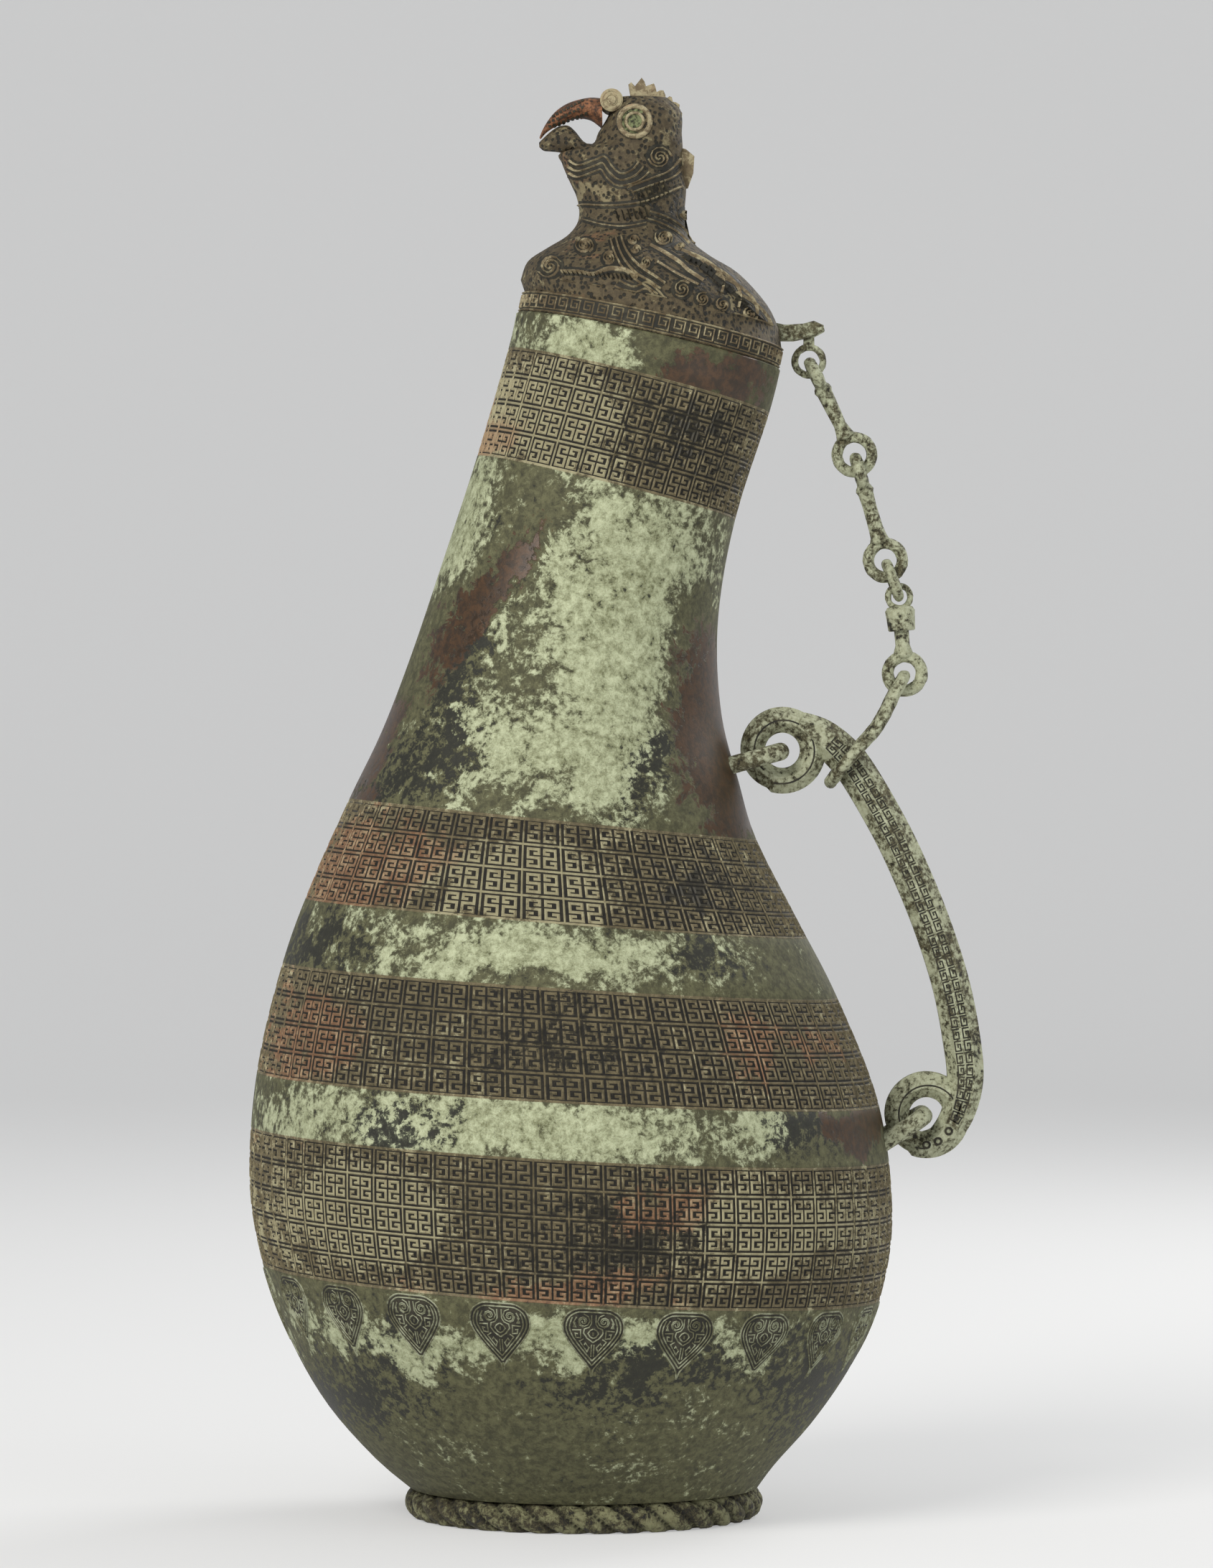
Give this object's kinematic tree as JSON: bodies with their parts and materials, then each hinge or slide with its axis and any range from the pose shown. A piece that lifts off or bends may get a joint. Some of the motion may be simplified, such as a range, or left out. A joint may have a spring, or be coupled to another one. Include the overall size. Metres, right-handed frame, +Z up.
{
  "type": "bird-headed bronze hu wine vessel",
  "caption": "Gourd-shaped bronze wine vessel with a hinged-beak bird cover, a swivel chain and a loose scroll handle, for storing and pouring.",
  "frame": {"origin": "centre of the foot on the ground plane", "axes": "+Z up; the beak points to -X; the handle and the chain are at +X; the XZ plane is the plane of symmetry"},
  "size_m": [0.204, 0.1786, 0.4004],
  "materials": {
    "patinated_bronze": "mottled green and dark brown patina over cast bronze",
    "pale_bronze": "pale green crust over cast bronze",
    "copper_bronze": "bare reddish bronze"
  },
  "bodies": {
    "vessel": {"vessel_body": "patinated_bronze", "foot_ring": "pale_bronze", "upper_lug": "pale_bronze", "lower_lug": "pale_bronze"},
    "handle": {"handle": "pale_bronze"},
    "lid": {"lid": "pale_bronze", "chain_lug": "pale_bronze"},
    "beak": {"upper_beak": "copper_bronze", "beak_pin": "copper_bronze"},
    "link_a": {"link_a": "pale_bronze"},
    "link_b": {"link_b": "pale_bronze"},
    "link_ring": {"link_ring": "pale_bronze"},
    "swivel_barrel": {"swivel_barrel": "pale_bronze"},
    "swivel_eye": {"swivel_eye": "pale_bronze"},
    "handle_link": {"handle_link": "pale_bronze"}
  },
  "joints": [
    {"name": "lid_lift", "type": "slide", "parent": "vessel", "child": "lid", "axis": [0.213, 0, 0.977], "range_m": [0, 0.007]},
    {"name": "beak_hinge", "type": "hinge", "parent": "lid", "child": "beak", "pos_m": [0.0077, 0, 0.3936], "axis": [0, 1, 0], "range_deg": [0, 50]},
    {"name": "handle_swing", "type": "hinge", "parent": "vessel", "child": "handle", "pos_m": [0.0944, 0, 0.1114], "axis": [-0.3659, 0, 0.9307], "range_deg": [-5.5, 5.5]},
    {"name": "link_a_swing", "type": "hinge", "parent": "lid", "child": "link_a", "pos_m": [0.06441, 0, 0.31789], "axis": [0, 1, 0], "range_deg": [0, 7.6]},
    {"name": "link_b_sway", "type": "hinge", "parent": "link_a", "child": "link_b", "pos_m": [0.07677, 0, 0.29068], "axis": [0.9597, 0, 0.2809], "range_deg": [-1.66, 1.66]},
    {"name": "link_ring_swing", "type": "hinge", "parent": "link_b", "child": "link_ring", "pos_m": [0.08567, 0, 0.26146], "axis": [0, 1, 0], "range_deg": [-0.8, 0]},
    {"name": "barrel_swing", "type": "hinge", "parent": "link_ring", "child": "swivel_barrel", "pos_m": [0.08673, 0, 0.25862], "axis": [0, 1, 0], "range_deg": [-2.7, 0]},
    {"name": "swivel_turn", "type": "hinge", "parent": "swivel_barrel", "child": "swivel_eye", "pos_m": [0.08781, 0, 0.25572], "axis": [-0.075, 0, 0.9972], "range_deg": [-2.21, 2.21]},
    {"name": "handle_link_swing", "type": "hinge", "parent": "swivel_eye", "child": "handle_link", "pos_m": [0.0892, 0, 0.2336], "axis": [0, 1, 0], "range_deg": [-17.7, 0]}
  ],
  "couplings": [
    {"joint": "link_a_swing", "follows": "lid_lift", "rad_per_m": 18.79},
    {"joint": "link_ring_swing", "follows": "lid_lift", "rad_per_m": -1.98},
    {"joint": "barrel_swing", "follows": "lid_lift", "rad_per_m": -6.6},
    {"joint": "handle_link_swing", "follows": "lid_lift", "rad_per_m": -44},
    {"joint": "link_b_sway", "follows": "handle_swing", "ratio": 0.3},
    {"joint": "swivel_turn", "follows": "handle_swing", "ratio": 0.4}
  ]
}
